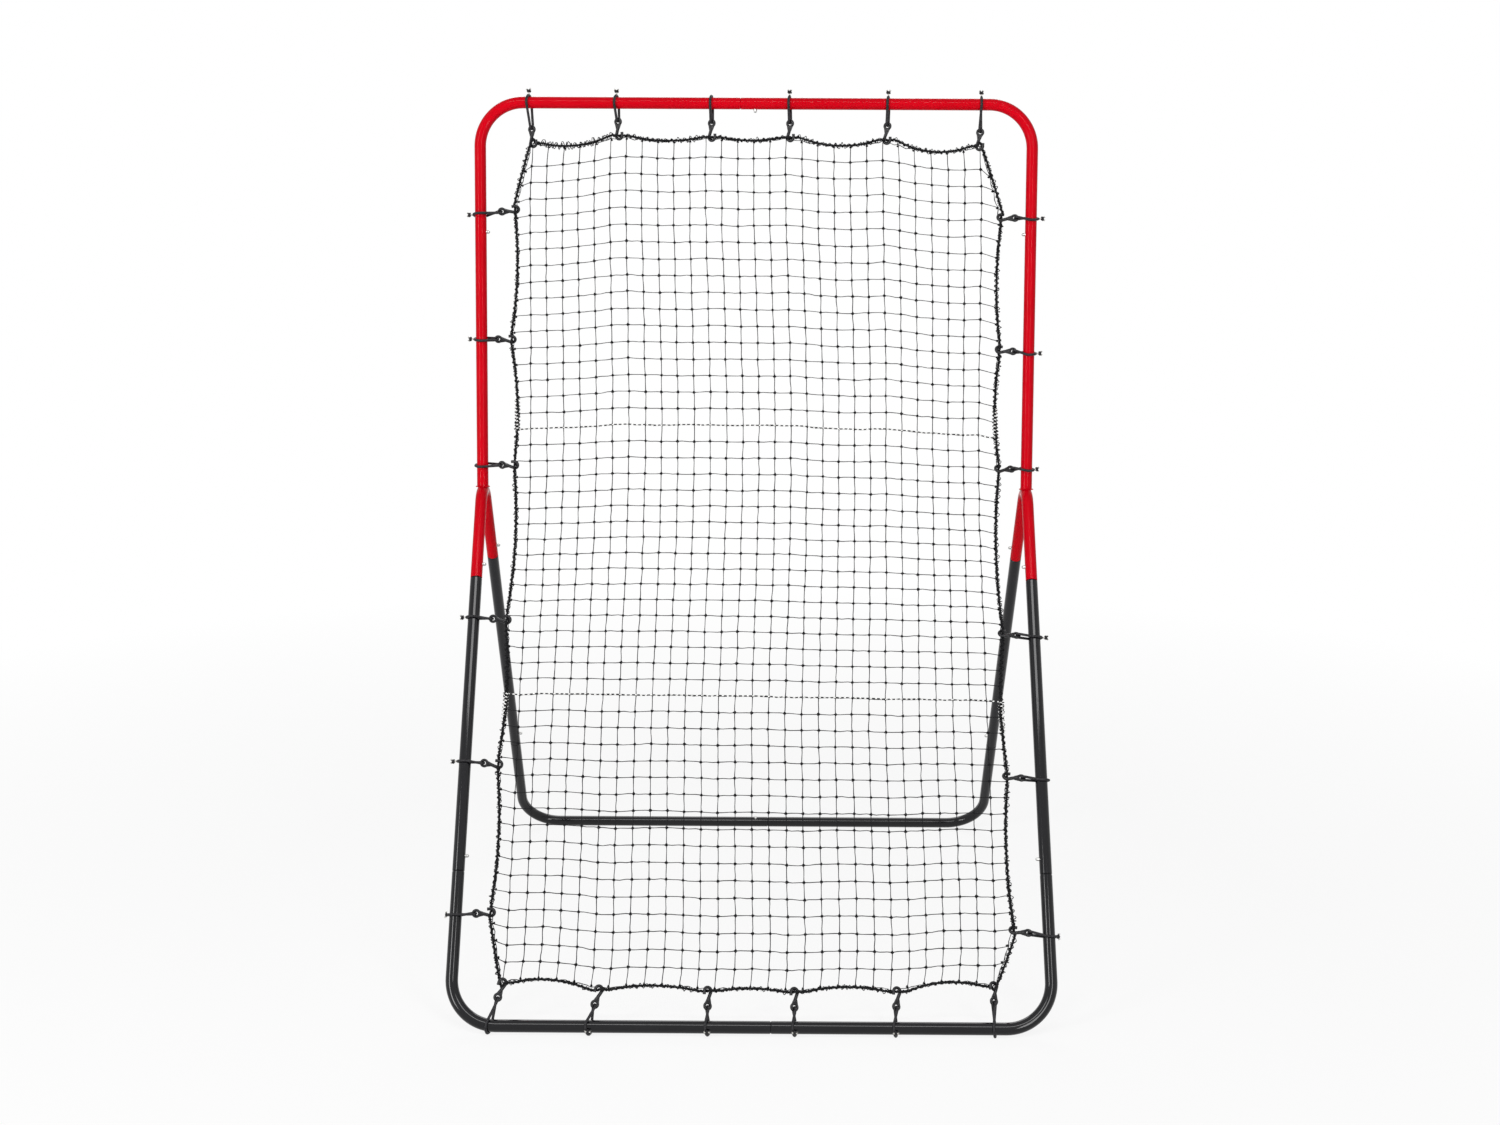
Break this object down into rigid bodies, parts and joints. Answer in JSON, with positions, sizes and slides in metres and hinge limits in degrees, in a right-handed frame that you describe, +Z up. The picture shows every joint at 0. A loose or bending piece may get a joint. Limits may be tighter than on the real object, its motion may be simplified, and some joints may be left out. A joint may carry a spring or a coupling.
{
  "type": "pitch back rebounder",
  "caption": "Free-standing tubular steel ball rebounder: knotted net hung on elastic hook ties in a bent tube frame on splayed legs, with a marked strike zone and snap-button joints.",
  "frame": {"origin": "middle of the footprint, on the ground", "axes": "+Z up, the net faces -Y towards the player, +X to the player's right"},
  "size_m": [1.098, 1.1444, 1.6234],
  "materials": {
    "red_powder_coat": "gloss",
    "black_powder_coat": "gloss",
    "zinc_plate": "zinc plated, bright",
    "spring_steel": "oiled",
    "net_twine": "twisted and knotted polyethylene",
    "border_rope": "twisted, slightly fuzzy",
    "strike_cord": "braided, white",
    "bungee_cord": "braided elastic",
    "hook_plastic": "moulded, satin"
  },
  "bodies": {
    "frame": {"top_corner_left": "red_powder_coat", "top_corner_right": "red_powder_coat", "side_post_left": "red_powder_coat", "side_post_right": "red_powder_coat", "leg_bracket_left": "red_powder_coat", "leg_bracket_right": "red_powder_coat", "post_welds": "red_powder_coat", "front_leg_left": "black_powder_coat", "front_leg_right": "black_powder_coat", "front_foot_left": "black_powder_coat", "front_foot_right": "black_powder_coat", "rear_leg_left": "black_powder_coat", "rear_leg_right": "black_powder_coat", "rear_foot_left": "black_powder_coat", "rear_foot_right": "black_powder_coat", "bar_spring_clips": "spring_steel", "post_spring_clips": "spring_steel", "bracket_spring_clips": "spring_steel", "leg_spring_clips": "spring_steel", "net_upper": "net_twine", "net_bend_upper": "net_twine", "net_bend_middle": "net_twine", "net_bend_lower": "net_twine", "net_lower": "net_twine", "border_rope": "border_rope", "strike_cord_upper": "strike_cord", "strike_cord_lower": "strike_cord", "top_bungees": "bungee_cord", "left_bungees": "bungee_cord", "right_bungees": "bungee_cord", "foot_bungee_1": "bungee_cord", "foot_bungee_2": "bungee_cord", "foot_bungee_3": "bungee_cord", "foot_bungee_4": "bungee_cord", "foot_bungee_5": "bungee_cord", "foot_bungee_6": "bungee_cord", "top_hooks": "hook_plastic", "left_hooks": "hook_plastic", "right_hooks": "hook_plastic", "foot_hooks": "hook_plastic"},
    "top_bar_button": {"top_bar_button": "zinc_plate"},
    "post_button_left": {"post_button_left": "zinc_plate"},
    "post_button_right": {"post_button_right": "zinc_plate"},
    "front_bracket_button_left": {"front_bracket_button_left": "zinc_plate"},
    "front_bracket_button_right": {"front_bracket_button_right": "zinc_plate"},
    "rear_bracket_button_left": {"rear_bracket_button_left": "zinc_plate"},
    "rear_bracket_button_right": {"rear_bracket_button_right": "zinc_plate"},
    "front_leg_button_left": {"front_leg_button_left": "zinc_plate"},
    "front_leg_button_right": {"front_leg_button_right": "zinc_plate"},
    "rear_leg_button_left": {"rear_leg_button_left": "zinc_plate"},
    "rear_leg_button_right": {"rear_leg_button_right": "zinc_plate"},
    "front_bar_button": {"front_bar_button": "zinc_plate"},
    "rear_bar_button": {"rear_bar_button": "zinc_plate"}
  },
  "joints": [
    {"name": "top_bar_button_press", "type": "slide", "parent": "frame", "child": "top_bar_button", "axis": [0, -0.1032, -0.9947], "range_m": [-0.0078, 0], "stiffness_N_per_m": 400, "springref_m": 0.004, "deforming": ["bar_spring_clips"]},
    {"name": "post_button_left_press", "type": "slide", "parent": "frame", "child": "post_button_left", "axis": [1, 0, 0], "range_m": [-0.0078, 0], "stiffness_N_per_m": 400, "springref_m": 0.004, "deforming": ["post_spring_clips"]},
    {"name": "post_button_right_press", "type": "slide", "parent": "frame", "child": "post_button_right", "axis": [-1, 0, 0], "range_m": [-0.0078, 0], "stiffness_N_per_m": 400, "springref_m": 0.004, "deforming": ["post_spring_clips"]},
    {"name": "front_bracket_button_left_press", "type": "slide", "parent": "frame", "child": "front_bracket_button_left", "axis": [1, 0, 0], "range_m": [-0.0078, 0], "stiffness_N_per_m": 400, "springref_m": 0.004, "deforming": ["bracket_spring_clips"]},
    {"name": "front_bracket_button_right_press", "type": "slide", "parent": "frame", "child": "front_bracket_button_right", "axis": [-1, 0, 0], "range_m": [-0.0078, 0], "stiffness_N_per_m": 400, "springref_m": 0.004, "deforming": ["bracket_spring_clips"]},
    {"name": "rear_bracket_button_left_press", "type": "slide", "parent": "frame", "child": "rear_bracket_button_left", "axis": [1, 0, 0], "range_m": [-0.0078, 0], "stiffness_N_per_m": 400, "springref_m": 0.004, "deforming": ["bracket_spring_clips"]},
    {"name": "rear_bracket_button_right_press", "type": "slide", "parent": "frame", "child": "rear_bracket_button_right", "axis": [-1, 0, 0], "range_m": [-0.0078, 0], "stiffness_N_per_m": 400, "springref_m": 0.004, "deforming": ["bracket_spring_clips"]},
    {"name": "front_leg_button_left_press", "type": "slide", "parent": "frame", "child": "front_leg_button_left", "axis": [1, 0, 0], "range_m": [-0.0078, 0], "stiffness_N_per_m": 400, "springref_m": 0.004, "deforming": ["leg_spring_clips"]},
    {"name": "front_leg_button_right_press", "type": "slide", "parent": "frame", "child": "front_leg_button_right", "axis": [-1, 0, 0], "range_m": [-0.0078, 0], "stiffness_N_per_m": 400, "springref_m": 0.004, "deforming": ["leg_spring_clips"]},
    {"name": "rear_leg_button_left_press", "type": "slide", "parent": "frame", "child": "rear_leg_button_left", "axis": [1, 0, 0], "range_m": [-0.0078, 0], "stiffness_N_per_m": 400, "springref_m": 0.004, "deforming": ["leg_spring_clips"]},
    {"name": "rear_leg_button_right_press", "type": "slide", "parent": "frame", "child": "rear_leg_button_right", "axis": [-1, 0, 0], "range_m": [-0.0078, 0], "stiffness_N_per_m": 400, "springref_m": 0.004, "deforming": ["leg_spring_clips"]},
    {"name": "front_bar_button_press", "type": "slide", "parent": "frame", "child": "front_bar_button", "axis": [0, 0.846, -0.5332], "range_m": [-0.0078, 0], "stiffness_N_per_m": 400, "springref_m": 0.004, "deforming": ["bar_spring_clips"]},
    {"name": "rear_bar_button_press", "type": "slide", "parent": "frame", "child": "rear_bar_button", "axis": [0, -0.5266, 0.8501], "range_m": [-0.0078, 0], "stiffness_N_per_m": 400, "springref_m": 0.004, "deforming": ["bar_spring_clips"]}
  ]
}
